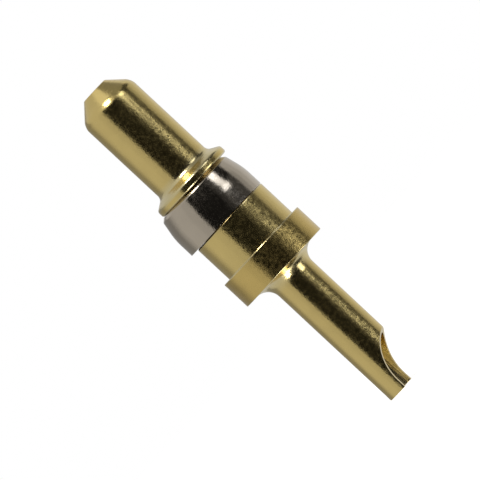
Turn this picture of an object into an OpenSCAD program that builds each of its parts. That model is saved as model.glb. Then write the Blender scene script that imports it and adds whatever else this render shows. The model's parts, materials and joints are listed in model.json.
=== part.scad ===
// Power contact pin for a mixed-layout connector: one turned contact and the
// rolled spring clip that keeps it in its insulator. Millimetres. The contact's
// axis is Z, its mating tip points to +Z, the solder cup opens to +X, and the
// origin is on the axis at the collar's front face, which seats in the insulator.

/* [Mating pin] */
// Diameter of the mating pin
pin_d = 3.6; // [3:0.1:4.2]
// Length of the mating pin, from the flange's back face to the tip
pin_l = 7.32; // [5:0.01:12]
// Diameter of the flat on the tip
tip_d = 1.6; // [1:0.1:2]
// Angle between the tip's chamfer and the axis
tip_angle = 45; // [35:1:55]
// Radius on the edge of the flat
tip_edge = 0.1; // [0.03:0.01:0.2]
// Radius that blends the tip's chamfer into the pin
tip_blend = 0.75; // [0.2:0.05:0.8]

/* [Flange] */
// Diameter of the flange that holds the clip from the front
flange_d = 4.85; // [4.7:0.05:5.2]
// Thickness of the flange at its rim
flange_t = 0.42; // [0.36:0.01:0.6]
// Angle between the flange's flared front and the axis
flare_angle = 58.5; // [45:0.5:70]
// Radius at the root of the flare
flare_root = 0.35; // [0.1:0.05:0.5]
// Radius on the front edge of the rim
rim_front = 0.18; // [0.05:0.01:0.2]
// Radius on the back edge of the rim
rim_back = 0.12; // [0.03:0.01:0.2]

/* [Neck and body] */
// Diameter of the neck that carries the clip
neck_d = 3.66; // [3.5:0.01:3.8]
// Diameter of the body, which fills the insulator's bore
body_d = 4.9; // [4.6:0.05:5.3]
// Length of the body, from the collar to the neck
body_l = 2.31; // [1.5:0.01:4]
// Bevel on the front edge of the body
body_bevel = 0.09; // [0.03:0.01:0.2]

/* [Collar] */
// Diameter of the collar
collar_d = 5.7; // [5.5:0.05:6.5]
// Thickness of the collar
collar_t = 1.7; // [1:0.05:3]
// Bevel on the edges of the collar
collar_bevel = 0.05; // [0.02:0.01:0.15]

/* [Tail] */
// Diameter of the tail
tail_d = 2.6; // [2.5:0.05:3.4]
// Length of the tail, behind the collar
tail_l = 9; // [7.5:0.1:14]
// Radius at the root of the tail
tail_root = 0.85; // [0.3:0.05:1]

/* [Solder cup] */
// Diameter of the drilling that takes the wire
cup_d = 2.1; // [1.5:0.05:2.2]
// Depth of the drilling at its full diameter
cup_depth = 6; // [4.5:0.1:6.5]
// Angle of the drill's point
drill_angle = 118; // [90:1:140]
// Length of the side opening, from the tail's end
scoop_l = 3.04; // [2.6:0.01:3.6]
// Radius of the milling cutter that opens the side
scoop_r = 3.1; // [2.5:0.1:3.8]
// Height of the milled floor above the axis
scoop_floor = 0.03; // [-0.2:0.01:0.4]

/* [Retaining clip] */
// Outer diameter of the clip
clip_d = 5.34; // [5.3:0.01:5.6]
// Length of the clip
clip_l = 2.44; // [2.2:0.01:4]
// Thickness of the clip's sheet metal
clip_t = 0.2; // [0.12:0.01:0.22]
// Angle that the clip's nose tapers to
nose_angle = 12.5; // [8:0.5:13]
// Radius of the bend from the clip's skirt to its nose
nose_bend = 3.2; // [2:0.1:4]
// Length of the nose's straight stretch
nose_l = 0.66; // [0.4:0.01:0.7]
// Angle that the clip's front lip turns in to
lip_angle = 50; // [30:1:52]
// Radius of the bend from the nose to the lip
lip_bend = 0.3; // [0.25:0.01:0.35]
// Length of the lip's straight stretch
lip_l = 0.18; // [0.08:0.01:0.2]
// Width of the clip's open seam
seam_w = 0.5; // [0.2:0.05:1]

/* [Fits] */
// Play of the clip along the neck, both ends together
clip_end_play = 0.06; // [0.04:0.01:0.3]
// Gap left where the clip rests against the neck
clip_rest_gap = 0.03; // [0.02:0.01:0.08]

/* [Hidden] */

// Facets of a full turn in previews
$fn = 96;

// Overrun that carries a cut clear of the face it starts from
cut_clear = 0.5;

// Largest turn between two points of a rounded corner
arc_step = 7.5;

// Radii of the turned steps
pin_r = pin_d / 2;
tip_r = tip_d / 2;
flange_r = flange_d / 2;
neck_r = neck_d / 2;
body_r = body_d / 2;
collar_r = collar_d / 2;
tail_r = tail_d / 2;
cup_r = cup_d / 2;

// Heights of the turned steps, from the tail's end to the tip
z_collar_back = -collar_t;
z_tail_end = z_collar_back - tail_l;
z_flange_back = body_l + clip_l + clip_end_play;
z_rim = z_flange_back + flange_t;
z_flare_root = z_rim + (flange_r - pin_r) / tan(flare_angle);
z_tip = z_flange_back + pin_l;
z_tip_shoulder = z_tip - (pin_r - tip_r) / tan(tip_angle);

// The cutter's axis crosses the tail where its flank leaves the opening's
// full length at the tail's skin.
scoop_x = scoop_floor + scoop_r;
z_scoop = z_tail_end + scoop_l - sqrt(pow(scoop_r, 2) - pow(scoop_x - tail_r, 2));

// The clip's sheet, followed along its outer skin from the back edge: a straight
// skirt, a wide bend, a straight nose, a tight bend and a straight lip.
nose_bend_l = nose_bend * sin(nose_angle);
lip_bend_l = lip_bend * (sin(lip_angle) - sin(nose_angle));
skirt_l = clip_l - nose_bend_l - nose_l * cos(nose_angle) - lip_bend_l
    - lip_l * cos(lip_angle);
lip_outer_r = clip_d / 2 - nose_bend * (1 - cos(nose_angle)) - nose_l * sin(nose_angle)
    - lip_bend * (cos(nose_angle) - cos(lip_angle)) - lip_l * sin(lip_angle);
lip_inner_r = lip_outer_r - clip_t * cos(lip_angle);

// The clip hangs on the neck, so its axis lies beside the contact's, away from
// the side that the solder cup opens to.
clip_shift = lip_inner_r - neck_r - clip_rest_gap;
z_clip = body_l + clip_end_play / 2;

// Direction of the side that runs from one corner of an outline to another
function heading(from, to) = atan2(to[1] - from[1], to[0] - from[0]);
// Point at a distance from another, in a direction
function along(from, angle, distance) = from + distance * [cos(angle), sin(angle)];

// A corner of an outline is [radius from the axis, height, rounding]. This gives
// the points that stand for it: the corner itself, or the arc that rounds an
// outer corner or fillets an inner one.
function corner_points(before, corner, after) =
    let (
        point = [corner[0], corner[1]],
        rounding = corner[2],
        side_a = heading(corner, before),
        side_b = heading(corner, after),
        spread = (side_b - side_a + 540) % 360 - 180,
        turn = 180 - abs(spread),
        steps = ceil(turn / arc_step),
        centre = along(point, side_a + spread / 2, rounding / sin(abs(spread) / 2)),
        first = side_a - 90 * sign(spread)
    )
    rounding == 0
        ? [point]
        : [for (k = [0:steps]) along(centre, first - sign(spread) * turn * k / steps, rounding)];

// The outline's points, with every corner rounded as it asks
function rounded_outline(corners) =
    let (last = len(corners) - 1)
    [
        for (i = [0:last])
            each corner_points(
                corners[i == 0 ? last : i - 1], corners[i], corners[i == last ? 0 : i + 1]
            )
    ];

// Half section of the contact as it leaves the lathe, from the tip down
contact_corners = [
    [0, z_tip, 0],
    [tip_r, z_tip, tip_edge],
    [pin_r, z_tip_shoulder, tip_blend],
    [pin_r, z_flare_root, flare_root],
    [flange_r, z_rim, rim_front],
    [flange_r, z_flange_back, rim_back],
    [neck_r, z_flange_back, 0],
    [neck_r, body_l, 0],
    [body_r - body_bevel, body_l, 0],
    [body_r, body_l - body_bevel, 0],
    [body_r, 0, 0],
    [collar_r - collar_bevel, 0, 0],
    [collar_r, -collar_bevel, 0],
    [collar_r, z_collar_back + collar_bevel, 0],
    [collar_r - collar_bevel, z_collar_back, 0],
    [tail_r, z_collar_back, tail_root],
    [tail_r, z_tail_end, 0],
    [0, z_tail_end, 0]
];

// Drilling for the wire, with the drill's point at its floor
module wire_drilling() {
    z_floor = z_tail_end + cup_depth;
    z_point = z_floor + cup_r / tan(drill_angle / 2);
    rotate_extrude()
        polygon([
            [0, z_tail_end - cut_clear], [cup_r, z_tail_end - cut_clear],
            [cup_r, z_floor], [0, z_point]
        ]);
}

// Sweep of the cutter that opens the cup's side, from the tail's end inwards
module side_milling() {
    rotate([90, 0, 0])
        linear_extrude(height = tail_d + 2 * cut_clear, center = true) {
            translate([scoop_x, z_scoop]) circle(r = scoop_r);
            translate([scoop_floor, z_tail_end - cut_clear])
                square([scoop_r, z_scoop - z_tail_end + cut_clear]);
        }
}

module contact_body() {
    color([0.80, 0.66, 0.36])
        difference() {
            rotate_extrude() polygon(rounded_outline(contact_corners));
            wire_drilling();
            side_milling();
        }
}

// A straight stretch of sheet. What follows it starts at its end.
module sheet_straight(length) {
    translate([-clip_t, 0]) square([clip_t, length]);
    translate([0, length]) children();
}

// A bend of the sheet towards the axis. What follows it starts at its end.
module sheet_bend(radius, angle) {
    reach = 2 * radius;
    translate([-radius, 0]) {
        intersection() {
            difference() {
                circle(r = radius);
                circle(r = radius - clip_t);
            }
            polygon([[0, 0], [reach, 0], [reach, reach * tan(angle)]]);
        }
        rotate(angle) translate([radius, 0]) children();
    }
}

// Section of the clip's wall, standing on its back edge
module clip_section() {
    translate([clip_d / 2, 0])
        sheet_straight(skirt_l)
        sheet_bend(nose_bend, nose_angle)
        sheet_straight(nose_l)
        sheet_bend(lip_bend, lip_angle - nose_angle)
        sheet_straight(lip_l);
}

module retaining_clip() {
    color([0.66, 0.64, 0.61])
        translate([-clip_shift, 0, z_clip])
        difference() {
            rotate_extrude() clip_section();
            // Open seam, at the back
            translate([-seam_w / 2, 0, -cut_clear])
                cube([seam_w, clip_d, clip_l + 2 * cut_clear]);
        }
}

contact_body();
retaining_clip();
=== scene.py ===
# %% [markdown]
# # A power contact and its retaining clip
#
# This lesson dresses one small part of a connector: a gold-plated power contact, 22.8 mm long,
# turned from bar, with a rolled spring clip on its neck that keeps it in its insulator. A packed
# model already holds the sizes and the joint, as two coarse meshes for the physics. Here both
# pieces are made again as smooth meshes of the same dimensions, and get the finish of the metal.
#
# Blender works in metres, and the drawing in millimetres, so every size is multiplied by MM. The
# contact's axis is Z, its mating tip points up, its solder cup opens to +X, and the origin is on
# the axis at the front face of the collar.

# %% Load the fixed frame
import json
import math
import bmesh
import bpy
from mathutils import Matrix, Vector


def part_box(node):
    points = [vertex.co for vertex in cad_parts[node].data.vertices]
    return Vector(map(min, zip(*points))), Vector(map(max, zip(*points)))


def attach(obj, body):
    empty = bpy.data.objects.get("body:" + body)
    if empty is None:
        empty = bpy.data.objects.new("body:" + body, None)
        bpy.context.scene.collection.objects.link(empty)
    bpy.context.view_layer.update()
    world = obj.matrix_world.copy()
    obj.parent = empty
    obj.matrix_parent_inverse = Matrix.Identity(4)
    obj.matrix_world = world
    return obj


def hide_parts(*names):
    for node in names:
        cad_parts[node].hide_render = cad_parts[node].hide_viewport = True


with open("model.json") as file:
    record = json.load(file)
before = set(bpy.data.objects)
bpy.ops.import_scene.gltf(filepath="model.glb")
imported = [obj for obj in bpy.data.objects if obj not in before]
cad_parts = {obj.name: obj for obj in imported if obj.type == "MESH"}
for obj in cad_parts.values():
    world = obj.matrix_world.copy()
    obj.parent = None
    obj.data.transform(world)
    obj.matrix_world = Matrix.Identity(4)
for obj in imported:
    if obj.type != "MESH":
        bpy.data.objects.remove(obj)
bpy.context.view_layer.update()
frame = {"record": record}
MM = 0.001

# %% [markdown]
# ## The camera
#
# A camera close to a part this small would make its near end look thick. Through a long lens,
# from 600 mm away, its sides stay parallel. The camera stands level with the part and a little to
# the right of straight on, so it looks into the solder cup. It is rolled, so the part lies across
# the picture from upper left to lower right. It could be placed by eye in the viewport, but three
# directions and a distance say the same thing in numbers, and the studio uses the directions
# again at the end.

# %% Camera
CAMERA_TURN = math.radians(12.57)
CAMERA_ROLL = math.radians(47.03)
CAMERA_DISTANCE = 600 * MM
PICTURE_WIDTH = 25.57 * MM
AIM_UP = 1.03 * MM
AIM_RIGHT = -0.522 * MM

UP = Vector((0, 0, 1))
RIGHT = Vector((math.cos(CAMERA_TURN), math.sin(CAMERA_TURN), 0))
BACK = RIGHT.cross(UP)

rolled_right = RIGHT * math.cos(CAMERA_ROLL) - UP * math.sin(CAMERA_ROLL)
rolled_up = BACK.cross(rolled_right)
rolled = Matrix((rolled_right, rolled_up, BACK)).transposed()

lens = bpy.data.cameras.new("camera")
lens.lens = lens.sensor_width * CAMERA_DISTANCE / PICTURE_WIDTH
camera = bpy.data.objects.new("camera", lens)
aim = UP * AIM_UP + RIGHT * AIM_RIGHT
camera.matrix_world = Matrix.Translation(aim + BACK * CAMERA_DISTANCE) @ rolled.to_4x4()
bpy.context.scene.collection.objects.link(camera)
bpy.context.scene.camera = camera
print("focal length:", round(lens.lens), "mm")

# %% [markdown]
# ## Turned outlines
#
# A lathe makes a solid of revolution, so its drawing is one chain of corners in a half plane.
# Each corner here is a radius, a height and a rounding. A vertex bevel rounds a corner of a wire,
# as the nose of a turning tool does. It wants the distance from the corner to the start of the
# arc, which is the rounding times the tangent of half the turn. A bevel of the finished solid
# would round the same edges, but it can't give each one its own size, and wide roundings would
# run into each other.

# %% Draw an outline
ARC_STEP = math.radians(6)


def outline(corners):
    """A bmesh with the corners as a chain of edges in the XZ half plane, each one rounded."""
    bm = bmesh.new()
    verts = [bm.verts.new((radius * MM, 0, height * MM)) for radius, height, _ in corners]
    for first, second in zip(verts, verts[1:]):
        bm.edges.new((first, second))
    for vert, (_, _, rounding) in zip(verts, corners):
        if rounding:
            before, after = [edge.other_vert(vert).co - vert.co for edge in vert.link_edges]
            turn = math.pi - before.angle(after)
            bmesh.ops.bevel(
                bm, geom=[vert], offset=rounding * MM * math.tan(turn / 2),
                offset_type="OFFSET", affect="VERTICES",
                segments=max(3, round(turn / ARC_STEP)), profile=0.5, material=-1,
            )
    return bm


# %% [markdown]
# ## The contact
#
# The contact is one piece of copper alloy. From the front it has a mating pin with a chamfered
# tip, a flange that holds the clip, a neck that carries it, a body that fills the insulator's
# bore, a collar that seats against the insulator, and a thin tail with the solder cup. It could
# be stacked from cylinders and cones, but then every step would need a boolean and its own bevel.
# One outline, spun round the axis, gives a single closed skin. The drilling for the wire belongs
# to the same chain of corners, which runs back up inside the tail to the drill's point.

# %% The contact's radii
mounts = {mount["name"]: mount["dims"] for mount in frame["record"]["mounts"]}

pin_r = mounts["mating_pin"]["r_mm"]
tip_r = 0.8
flange_r = 2.425
neck_r = 1.83
body_r = 2.45
collar_r = mounts["collar"]["r_mm"]
tail_r = 1.3
cup_r = mounts["solder_cup"]["r_mm"]
print("radii: pin", pin_r, "flange", flange_r, "body", body_r, "collar", collar_r, "tail", tail_r)

# %% The contact's heights
contact_low, contact_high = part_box("contact_body")
FLARE_ANGLE = math.radians(58.5)
DRILL_POINT = math.radians(118)

z_tip = contact_high.z / MM
z_tip_shoulder = z_tip - (pin_r - tip_r)
z_body_front = 2.31
z_flange_back = 4.81
z_rim = z_flange_back + 0.42
z_flare_root = z_rim + (flange_r - pin_r) / math.tan(FLARE_ANGLE)
z_collar_back = -1.7
z_tail_end = contact_low.z / MM
z_cup_floor = z_tail_end + mounts["solder_cup"]["length_mm"]
z_drill_point = z_cup_floor + cup_r / math.tan(DRILL_POINT / 2)
print("tip at", round(z_tip, 2), "flare root at", round(z_flare_root, 3), "mm")

# %% Turn the contact
AROUND = 256
WELD = 0.0001 * MM

# Radius, height and rounding of each corner, from the tip back and up into the drilling
contact_corners = [
    (0, z_tip, 0),
    (tip_r, z_tip, 0.1),
    (pin_r, z_tip_shoulder, 0.75),
    (pin_r, z_flare_root, 0.35),
    (flange_r, z_rim, 0.18),
    (flange_r, z_flange_back, 0.12),
    (neck_r, z_flange_back, 0.04),
    (neck_r, z_body_front, 0.04),
    (body_r, z_body_front, 0.09),
    (body_r, 0, 0.03),
    (collar_r, 0, 0.04),
    (collar_r, z_collar_back, 0.04),
    (tail_r, z_collar_back, 0.85),
    (tail_r, z_tail_end, 0.02),
    (cup_r, z_tail_end, 0.02),
    (cup_r, z_cup_floor, 0),
    (0, z_drill_point, 0),
]
contact = outline(contact_corners)
bmesh.ops.spin(
    contact, geom=contact.verts[:] + contact.edges[:], axis=UP, cent=(0, 0, 0),
    angle=math.tau, steps=AROUND, use_merge=True, use_duplicate=False,
)
bmesh.ops.remove_doubles(contact, verts=contact.verts, dist=WELD)
print("turned:", len(contact.faces), "faces")

# %% [markdown]
# ## Milling the solder cup
#
# One side of the drilled tail is milled away with a round cutter, which leaves a trough that a
# wire can be laid in and solder fed into. A Boolean modifier could take the cutter away, but it
# leaves long thin triangles on a skin as polished as this one. The section of the cutter is
# convex, so it removes whatever lies on its side of all its facets. A bisect by each facet splits
# the faces along it, the faces on the cutter's side of every facet are deleted, and a bridge
# between the outer and the inner cut closes the wall again.

# %% The cutter
CUTTER_R = 3.1
CUTTER_FACETS = 48
CUTTER_TOP = math.radians(115)
milled_x = 0.03
milled_l = 3.04

cutter_x = milled_x + CUTTER_R
cutter_rise = math.sqrt(CUTTER_R**2 - (cutter_x - tail_r) ** 2)
cutter_z = z_tail_end + milled_l - cutter_rise


def facets():
    """A point on each facet of the cutter, with the direction from the cutter into the metal."""
    yield Vector((milled_x, 0, cutter_z)) * MM, Vector((-1, 0, 0))
    step = (math.pi - CUTTER_TOP) / CUTTER_FACETS
    for k in range(CUTTER_FACETS):
        angle = math.pi - (k + 0.5) * step
        outward = Vector((math.cos(angle), 0, math.sin(angle)))
        reach = CUTTER_R * math.cos(step / 2)
        yield (Vector((cutter_x, 0, cutter_z)) + outward * reach) * MM, outward


print("cutter's axis at x", round(cutter_x, 2), "z", round(cutter_z, 3), "mm")


# %% Mill the side away
def with_edges(faces):
    """The faces together with their edges and vertices, as a bisect wants them."""
    edges = {edge for face in faces for edge in face.edges}
    verts = {vert for face in faces for vert in face.verts}
    return list(faces) + list(edges) + list(verts)


milled = contact.faces[:]
for point, outward in facets():
    cut = bmesh.ops.bisect_plane(
        contact, geom=with_edges(milled), dist=WELD, plane_co=point, plane_no=outward
    )
    faces = [item for item in cut["geom"] if isinstance(item, bmesh.types.BMFace)]
    milled = [face for face in faces if (face.calc_center_median() - point).dot(outward) < 0]
bmesh.ops.delete(contact, geom=milled, context="FACES")
print("milled away:", len(milled), "faces")

# %% [markdown]
# Two chains of open edges are left, one on the tail's outer skin and one in the drilling, and two
# short edges that join them across the wall at the end of the tail. The bridge wants only the two
# chains, so an edge is used when both of its ends lie on the same side of the wall's middle.

# %% Close the milled wall
wall_middle = (tail_r + cup_r) / 2 * MM


def along_the_wall(edge):
    first, second = [vert.co.xy.length > wall_middle for vert in edge.verts]
    return first == second


rim = [edge for edge in contact.edges if edge.is_boundary and along_the_wall(edge)]
wall = bmesh.ops.bridge_loops(contact, edges=rim)
print("bridged:", len(rim), "edges with", len(wall["faces"]), "faces")

# %% [markdown]
# The inside of the drilling keeps the marks of the drill, so its faces get the second material of
# the piece. Turned metal is smooth along its curves and crisp at its corners. Smooth shading on
# every face, with sharp edges only where two faces meet at an angle, gives both. A piece then
# stands for its node of the imported model and rides on its body.

# %% Finish the contact
SHARP_ABOVE = math.radians(24)


def finish_mesh(bm, name):
    """The finished object: faces outwards, smooth, and creased where two faces meet sharply."""
    bmesh.ops.recalc_face_normals(bm, faces=bm.faces)
    for face in bm.faces:
        face.smooth = True
    for edge in bm.edges:
        edge.smooth = len(edge.link_faces) == 2 and edge.calc_face_angle() < SHARP_ABOVE
    open_edges = sum(not edge.is_manifold for edge in bm.edges)
    volume = bm.calc_volume() / MM**3
    mesh = bpy.data.meshes.new(name)
    bm.to_mesh(mesh)
    bm.free()
    piece = bpy.data.objects.new(name, mesh)
    bpy.context.scene.collection.objects.link(piece)
    print(name, len(mesh.polygons), "faces,", open_edges, "open edges,", round(volume, 2), "mm3")
    return piece


drilling_reach = cup_r * 1.001
for face in contact.faces:
    middle = face.calc_center_median() / MM
    if middle.xy.length < drilling_reach and middle.z < z_drill_point:
        face.material_index = 1
contact_piece = finish_mesh(contact, "contact")
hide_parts("contact_body")
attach(contact_piece, "contact")

# %% [markdown]
# ## The retaining clip
#
# The clip is a strip of spring sheet, 0.2 mm thick and nickel-plated, rolled round the neck with
# an open seam at the back. Its skirt is straight. Towards the front it bends in to a nose, and a
# short lip turns in further, to guide the contact into the insulator. It hangs loosely on the
# neck, and so lies a little to one side. A ring turned like the contact would have no seam, and
# its wall would change thickness round the bends. So only the outer skin is drawn, and spun
# through a little less than a full turn. Solidify then gives it a wall of one thickness.
#
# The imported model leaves 0.03 mm of play at each end of the clip, which shows as two slits of
# light. Here the clip is 0.018 mm longer at each end, and still clear of the contact.

# %% Draw the clip's outer skin
CLIP_R = 2.67
CLIP_SHEET = 0.2
z_clip_back = 2.322
z_clip_front = 4.798
nose_bend, nose_angle, nose_flat = 3.2, math.radians(12.5), 0.66
lip_bend, lip_angle, lip_flat = 0.3, math.radians(50), 0.18
lip_edge = 0.17

nose_tangent = nose_bend * math.tan(nose_angle / 2)
lip_tangent = lip_bend * math.tan((lip_angle - nose_angle) / 2)
nose_l = nose_tangent + nose_flat + lip_tangent
lip_l = lip_tangent + lip_flat
leaning = nose_l * math.cos(nose_angle) + lip_l * math.cos(lip_angle)
skirt_l = z_clip_front - z_clip_back - leaning

clip_corners = [(CLIP_R, z_clip_back, 0)]
stretches = (skirt_l, 0, nose_bend), (nose_l, nose_angle, lip_edge), (lip_l, lip_angle, 0)
for length, lean, rounding in stretches:
    radius, height, _ = clip_corners[-1]
    radius -= length * math.sin(lean)
    height += length * math.cos(lean)
    clip_corners.append((radius, height, rounding))
clip = outline(clip_corners)
print("clip's lip ends at radius", round(clip_corners[-1][0], 3), "mm")

# %% Roll the clip
SEAM = 0.5
clip_beside = Vector((-0.225, 0, 0)) * MM

half_seam = math.asin(SEAM / 2 / CLIP_R)
to_the_back = Matrix.Rotation(math.pi / 2 + half_seam, 3, "Z")
bmesh.ops.rotate(clip, verts=clip.verts, cent=(0, 0, 0), matrix=to_the_back)
bmesh.ops.spin(
    clip, geom=clip.verts[:] + clip.edges[:], axis=UP, cent=(0, 0, 0),
    angle=math.tau - 2 * half_seam, steps=AROUND, use_merge=False, use_duplicate=False,
)
bmesh.ops.recalc_face_normals(clip, faces=clip.faces)
if sum(face.normal.dot(face.calc_center_median().xy.to_3d()) for face in clip.faces) < 0:
    bmesh.ops.reverse_faces(clip, faces=clip.faces)
bmesh.ops.solidify(clip, geom=clip.faces[:], thickness=CLIP_SHEET * MM)
bmesh.ops.translate(clip, verts=clip.verts, vec=clip_beside)
clip_piece = finish_mesh(clip, "clip")
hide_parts("retaining_clip")
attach(clip_piece, "clip")

# %% [markdown]
# Sheet metal that has been cut and tumbled has no knife edges. The broken edges are all of one
# size, so here a Bevel modifier on the finished piece is the simplest way.

# %% Break the clip's edges
edge_break = clip_piece.modifiers.new("broken edges", "BEVEL")
edge_break.width = 0.04 * MM
edge_break.segments = 3
edge_break.limit_method = "ANGLE"
edge_break.angle_limit = math.radians(50)
edge_break.harden_normals = True
print("broken edges:", round(edge_break.width / MM, 3), "mm")

# %% [markdown]
# ## Shader maths
#
# A material is a tree of nodes, and a sum written with nodes is long. The small class below wraps
# an output of a node, and each operator on it adds the Math node that does its work, so a pattern
# can be written as the sum or product that it is. Any other node comes from one method, which
# takes the node's type, its settings and what goes into its sockets.

# %% Wires and recipes
class Wire:
    """An output socket. Python's operators on it add Math nodes to its tree."""

    def __init__(self, recipe, socket):
        self.recipe = recipe
        self.socket = socket

    def maths(self, operation, first, second):
        settings = {"operation": operation}
        return self.recipe.node("ShaderNodeMath", settings, {0: first, 1: second})["Value"]

    def __add__(self, other):
        return self.maths("ADD", self, other)

    def __sub__(self, other):
        return self.maths("SUBTRACT", self, other)

    def __rsub__(self, other):
        return self.maths("SUBTRACT", other, self)

    def __mul__(self, other):
        return self.maths("MULTIPLY", self, other)

    __radd__ = __add__
    __rmul__ = __mul__


class Recipe:
    """The node tree of a material or a world, filled one node at a time."""

    def __init__(self, owner):
        owner.use_nodes = True
        self.tree = owner.node_tree
        self.tree.nodes.clear()

    def node(self, kind, settings, inputs):
        """Adds a node, and returns its outputs by name."""
        node = self.tree.nodes.new(kind)
        for name, value in settings.items():
            setattr(node, name, value)
        for name, value in inputs.items():
            if isinstance(name, int):
                socket = node.inputs[name]
            else:
                socket = next(s for s in node.inputs if s.name == name and s.enabled)
            if isinstance(value, Wire):
                self.tree.links.new(value.socket, socket)
            else:
                socket.default_value = value
        return {s.name: Wire(self, s) for s in node.outputs if s.enabled}


# %% [markdown]
# ## Satin metal
#
# The contact and the clip are barrel-plated: small parts tumble in the bath, which leaves them
# bright but never mirror-like. Three things make that surface. A fine grain breaks up the edges
# of what it mirrors. The polish is uneven, so some spots are sharp and their neighbours blurred,
# and a row of bright spots looks like sparkle. A slow cloud changes the tone of the metal. Each is
# a Noise Texture on object coordinates, measured in millimetres, so the grain has its real size
# and needs no unwrapping. Scratches or an anisotropic shader would suit a brushed part, not this.

# %% A satin metal
GRAIN = 0.075
POLISH = 0.18
CLOUD = 1.2
EVEN_LAY = (1, 1, 1)
SHADE_FROM, SHADE_SPAN = 0.92, 0.16
BLUR_FROM, BLUR_SPAN = 0.2, 1.6


def satin(recipe, base, roughness, grain_height, lay=EVEN_LAY, streaks=0):
    """Metal with a fine grain and an uneven polish, both stretched along the lay."""

    def noise(where, size, detail):
        settings = {"Vector": where, "Scale": 1 / (size * MM), "Detail": detail}
        return recipe.node("ShaderNodeTexNoise", {}, settings)["Fac"]

    place = recipe.node("ShaderNodeTexCoord", {}, {})["Object"]
    multiply = {"operation": "MULTIPLY"}
    along = recipe.node("ShaderNodeVectorMath", multiply, {0: place, 1: lay})["Vector"]
    grain = noise(along, GRAIN, 1)
    polish = noise(along, POLISH, 2)
    cloud = noise(place, CLOUD, 2)
    bump = recipe.node("ShaderNodeBump", {}, {
        "Strength": 1, "Distance": grain_height, "Height": grain})["Normal"]
    shade = SHADE_FROM + SHADE_SPAN * cloud
    if streaks:
        shade = shade + streaks * (polish - 0.5)
    tone = recipe.node("ShaderNodeVectorMath", {"operation": "SCALE"}, {
        "Vector": base, "Scale": shade})["Vector"]
    shader = recipe.node("ShaderNodeBsdfPrincipled", {}, {
        "Base Color": tone, "Metallic": 1, "Normal": bump,
        "Roughness": roughness * (BLUR_FROM + BLUR_SPAN * polish)})["BSDF"]
    recipe.node("ShaderNodeOutputMaterial", {}, {"Surface": shader})


# %% [markdown]
# ## The gold plating
#
# The plating is a cool, slightly green gold. It isn't the same all over: the collar is a little
# redder and duller. In the inner corners the gold is painted paler, as a painted highlight: light
# bouncing between their faces would turn deep orange there, and the paler gold keeps it pale.
# These zones could be separate materials, but their edges would need their own loops of faces. A
# mask made from the height along the axis costs nothing on the mesh, and can fade, as it does on
# the long fillet behind the collar and at the root of the flare.

# %% Zones along the axis
SHARP = 0.001


def height_of(recipe):
    place = recipe.node("ShaderNodeTexCoord", {}, {})["Object"]
    return recipe.node("ShaderNodeSeparateXYZ", {}, {"Vector": place})["Z"]


def rise(recipe, low, high):
    """0 below one height of the contact, 1 above another, and a straight fade between them."""
    return recipe.node("ShaderNodeMapRange", {}, {
        "Value": height_of(recipe), "From Min": low * MM, "From Max": high * MM})["Result"]


def between(recipe, low, high, fade_below=SHARP, fade_above=SHARP):
    """1 on the stretch of the contact between two heights, with a fade at each end."""
    return rise(recipe, low - fade_below, low) * (1 - rise(recipe, high, high + fade_above))


def blend(recipe, mask, first, second):
    """The first colour where the mask is 0, and the second where it is 1."""
    return recipe.node("ShaderNodeMix", {"data_type": "RGBA"}, {
        "Factor": mask, "A": first, "B": second})["Result"]


# %% Gold plating
GOLD = (0.75, 0.579, 0.22, 1)
COLLAR_GOLD = (0.70, 0.515, 0.175, 1)
# Paler gold that paints the pale highlights in the inner corners
CORNER_HIGHLIGHT_GOLD = (0.74, 0.63, 0.34, 1)

# Lower and upper end of each stretch of painted pale highlight, and how wide it fades below and
# above
PAINTED_HIGHLIGHT_STRETCHES = [
    (z_collar_back - 0.1, z_collar_back + 0.03, 0.75),
    (-0.05, 0.04),
    (z_body_front - 0.09, z_flange_back + 0.08),
    (z_rim - 0.05, z_flare_root, 0.1, 0.4),
]

gold = bpy.data.materials.new("gold plating")
recipe = Recipe(gold)
on_collar = between(recipe, z_collar_back, 0)
painted_highlight_mask = sum(between(recipe, *stretch) for stretch in PAINTED_HIGHLIGHT_STRETCHES)
plating = blend(recipe, on_collar, GOLD, COLLAR_GOLD)
plating = blend(recipe, painted_highlight_mask, plating, CORNER_HIGHLIGHT_GOLD)
satin(recipe, plating, roughness=0.2 + 0.03 * on_collar, grain_height=0.0052 * MM)
contact_piece.data.materials.append(gold)
print("gold plating:", len(gold.node_tree.nodes), "nodes")

# %% [markdown]
# ## Inside the cup
#
# The drill leaves fine streaks that run into the hole, and the plating over them is rougher. The
# same satin serves, with its lay stretched ten times along the axis, and with streaks of tone as
# well as of polish. Near the mouth the gold is painted paler, as a painted reflection of the pale,
# greyish light that the inner wall mirrors there at a glancing angle.

# %% Drilled gold
# Paler gold near the mouth: a painted reflection of the light at the rim
MOUTH_REFLECTION_GOLD = (0.79, 0.67, 0.38, 1)
DRILLED_LAY = (1, 1, 0.1)
z_mouth_pale = z_tail_end + 0.8
z_mouth_gone = z_tail_end + 2.6

drilled = bpy.data.materials.new("drilled gold")
recipe = Recipe(drilled)
depth = rise(recipe, z_mouth_pale, z_mouth_gone)
bore = blend(recipe, depth, MOUTH_REFLECTION_GOLD, GOLD)
satin(recipe, bore, roughness=0.25, grain_height=0.012 * MM, lay=DRILLED_LAY, streaks=1.2)
contact_piece.data.materials.append(drilled)
print("drilled gold:", len(drilled.node_tree.nodes), "nodes")

# %% [markdown]
# ## The clip's nickel
#
# Nickel is a warm grey metal, darker than silver and less blue than chrome. Rolled sheet is
# smoother than a turned surface, so the grain is lower and the polish higher than on the gold.

# %% Clip nickel
NICKEL = (0.535, 0.467, 0.37)

nickel = bpy.data.materials.new("clip nickel")
satin(Recipe(nickel), NICKEL, roughness=0.14, grain_height=0.0035 * MM)
clip_piece.data.materials.append(nickel)
print("clip nickel:", len(nickel.node_tree.nodes), "nodes")

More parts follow.
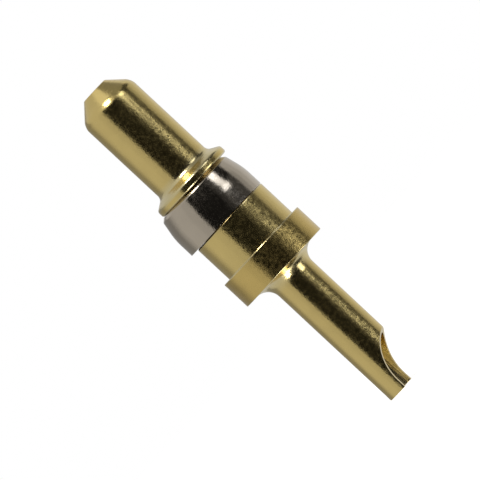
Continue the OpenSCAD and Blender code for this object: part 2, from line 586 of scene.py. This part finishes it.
# %% [markdown]
# ## The world and the floor
#
# The part stands on a plain pale floor in an even white light. The background has to be pure
# white to the eye without putting more light on the part, so the world is brighter for rays that
# come straight from the camera, off metal or through glass than for the light that falls on
# diffuse surfaces. The floor adds a little glow of its own for the same rays, and keeps its
# shadow. It is a disc with nothing on its underside, so the part can also be seen from below.

# %% World
def white_to_the_eye(recipe):
    """1 for rays from the camera, off metal or through glass, and 0 for light on the part."""
    path = recipe.node("ShaderNodeLightPath", {}, {})
    seen = path["Is Camera Ray"] + path["Is Glossy Ray"] + path["Is Transmission Ray"]
    return recipe.node("ShaderNodeClamp", {}, {"Value": seen})["Result"]


WHITE = (1, 1, 1, 1)
LIGHT_ON_PART = 0.5

world = bpy.data.worlds.new("studio")
bpy.context.scene.world = world
recipe = Recipe(world)
whiteness = LIGHT_ON_PART + (1 - LIGHT_ON_PART) * white_to_the_eye(recipe)
surround = recipe.node("ShaderNodeBackground", {}, {
    "Color": WHITE, "Strength": whiteness})["Background"]
recipe.node("ShaderNodeOutputWorld", {}, {"Surface": surround})
bpy.context.scene.view_settings.view_transform = "Standard"
print("world:", len(world.node_tree.nodes), "nodes")


# %% Floor
def stage_object(name, bm):
    """An object of the studio, which isn't part of the contact."""
    mesh = bpy.data.meshes.new(name)
    bm.to_mesh(mesh)
    bm.free()
    thing = bpy.data.objects.new(name, mesh)
    bpy.context.scene.collection.objects.link(thing)
    return thing


FLOOR_R = 900 * MM
FLOOR_PAINT = (0.8, 0.8, 0.8, 1)
FLOOR_GLOW = 0.6

bm = bmesh.new()
at_the_foot = Matrix.Translation(UP * contact_low.z)
bmesh.ops.create_circle(bm, cap_ends=True, segments=64, radius=FLOOR_R, matrix=at_the_foot)
floor = stage_object("floor", bm)
floor.visible_glossy = False
floor.visible_shadow = False

paint = bpy.data.materials.new("floor paint")
recipe = Recipe(paint)
matt = recipe.node("ShaderNodeBsdfDiffuse", {}, {"Color": FLOOR_PAINT})["BSDF"]
glow = recipe.node("ShaderNodeEmission", {}, {
    "Color": WHITE, "Strength": FLOOR_GLOW * white_to_the_eye(recipe)})["Emission"]
top = recipe.node("ShaderNodeAddShader", {}, {0: matt, 1: glow})["Shader"]
clear = recipe.node("ShaderNodeBsdfTransparent", {}, {})["BSDF"]
underneath = recipe.node("ShaderNodeNewGeometry", {}, {})["Backfacing"]
one_sided = recipe.node("ShaderNodeMixShader", {}, {0: underneath, 1: top, 2: clear})["Shader"]
recipe.node("ShaderNodeOutputMaterial", {}, {"Surface": one_sided})
floor.data.materials.append(paint)
print("floor:", FLOOR_R, "m radius, at z", round(contact_low.z / MM, 2), "mm")

# %% [markdown]
# ## The tent, its flags and the lamps
#
# Polished metal shows its surroundings more than itself. A turned part is a row of curved mirrors,
# and each stretch of its surroundings becomes a band along it. So the studio is a white tent all
# round, with black and grey flags in it for the dark bands, and small softboxes for the hot
# spots. An environment picture could do the same, but it can't be adjusted band by band.
#
# Every card and lamp is placed by two angles seen from the part: degrees round its axis from the
# camera to the right, and degrees up from level. On a cylinder that is seen from the side, a
# place whose surface has turned by some angle mirrors the direction at twice that angle, so the
# angles of a card follow from where its band should lie.
#
# The cards are seen by the metal alone. They cast no shadow and hide nothing from the camera.

# %% Directions and cards
TENT_DISTANCE = 420 * MM
CARD_DISTANCE = 340 * MM
TENT_LEVEL = 0.57


def toward(around, up):
    """A direction from the part, from degrees round to the right and degrees up."""
    around, up = math.radians(around), math.radians(up)
    level = BACK * math.cos(around) + RIGHT * math.sin(around)
    return level * math.cos(up) + UP * math.sin(up)


def card(name, around, up, level, distance=CARD_DISTANCE):
    """A curved card between two pairs of angles, as bright as that many times the tent."""
    bm = bmesh.new()
    bmesh.ops.create_grid(bm, x_segments=24, y_segments=12, size=1)
    for vert in bm.verts:
        across, upward = (vert.co.x + 1) / 2, (vert.co.y + 1) / 2
        angles = around[0] + (around[1] - around[0]) * across, up[0] + (up[1] - up[0]) * upward
        vert.co = toward(*angles) * distance
    thing = stage_object(name, bm)
    thing.visible_camera = False
    thing.visible_diffuse = False
    thing.visible_shadow = False
    grey = bpy.data.materials.new(name)
    grey.cycles.emission_sampling = "NONE"
    recipe = Recipe(grey)
    shade = recipe.node("ShaderNodeEmission", {}, {
        "Color": WHITE, "Strength": level * TENT_LEVEL})["Emission"]
    recipe.node("ShaderNodeOutputMaterial", {}, {"Surface": shade})
    thing.data.materials.append(grey)
    print(name, "from", around[0], "to", around[1], "round and", up[0], "to", up[1], "up")


# %% The tent and its flags
card("tent", (-180, 180), (-76, 76), 1, TENT_DISTANCE)
card("tent.top", (-180, 180), (76, 90), 1.4, TENT_DISTANCE)

# The dark core of every cylinder: the black front of the camera's stand, with a softer edge
card("flag.camera", (-36, 29), (-14, 36), 0.02)
card("flag.camera.edge", (29, 39), (-14, 36), 0.065)
card("flag.camera.right", (39, 50), (-14, 36), 0.13)
card("flag.camera.low", (-32, 48), (-45, -14), 0.015)
card("flag.left", (-60, -36), (-45, 36), 0.92)

# The gap between the bright strip and the upper edge
card("flag.strip", (50, 72), (-11, 8), 0.06)
card("flag.gap", (72, 95), (-45, 15), 0.12)
card("flag.gap.nose", (70, 99), (15, 38), 0.03)
card("flag.gap.edge", (95, 110), (-45, 15), 0.72)

# What the tip's chamfer, its shoulder and the fillet behind the collar mirror
card("flag.tip", (35, 150), (38, 75), 0.45)
card("flag.shoulder", (99, 125), (20, 50), 0.1)
card("flag.tail", (0, 130), (-75, -45), 0.05)

# The soft shade along the lower edge, in three steps
card("flag.back", (-165, -118), (-35, 25), 0.5)
card("flag.back.edge", (-118, -110), (-35, 25), 0.68)
card("flag.back.rim", (-110, -101), (-35, 25), 0.87)

# A brighter wall behind and to the right, for the pale line along the upper edge
card("wall.right", (128, 170), (-40, 36), 1.2)


# %% Softboxes
LAMP_DISTANCE = 300 * MM
DAYLIGHT = (0.95, 1, 1.12)


def softbox(name, around, up, wide, high, level, roll=0, colour=(1, 1, 1)):
    """A lamp at two angles, that many degrees wide and high, and that many tents bright."""
    light = bpy.data.lights.new(name, "AREA")
    light.shape = "RECTANGLE"
    light.size = 2 * LAMP_DISTANCE * math.tan(math.radians(wide / 2))
    light.size_y = 2 * LAMP_DISTANCE * math.tan(math.radians(high / 2))
    light.energy = level * TENT_LEVEL * math.pi * light.size * light.size_y
    light.color = colour
    lamp = bpy.data.objects.new(name, light)
    direction = toward(around, up)
    facing = direction.to_track_quat("Z", "Y").to_matrix()
    turn = facing @ Matrix.Rotation(math.radians(roll), 3, "Z")
    lamp.matrix_world = Matrix.Translation(direction * LAMP_DISTANCE) @ turn.to_4x4()
    lamp.visible_camera = False
    bpy.context.scene.collection.objects.link(lamp)
    print(name, round(light.energy, 3), "W")


# Hot spots on the tip's shoulder and in the flare
softbox("lamp.tip", -1, 56, 14, 24, 26)

# The highlight on the clip's nose, and its fade along the bend. The lamps on this side are
# cooler, like light from a window.
softbox("lamp.side", 60, 28, 19, 9, 4, colour=DAYLIGHT)
softbox("lamp.side.mid", 59, 18.5, 16, 10, 1.6, colour=DAYLIGHT)
softbox("lamp.side.fade", 58, 8, 20, 3, 1.6, colour=DAYLIGHT)

# The bright strip, blurred into the cylinders from above and below
softbox("lamp.side.low", 58, 11.5, 24, 4, 3.6, colour=DAYLIGHT)
softbox("lamp.side.under", 61, -12, 24, 9, 5.8, colour=DAYLIGHT)

# Hot spots in the fillet behind the collar
softbox("lamp.low", 66, -34, 18, 40, 3.6, 20)
softbox("lamp.tail", -18, -66, 13, 44, 12)
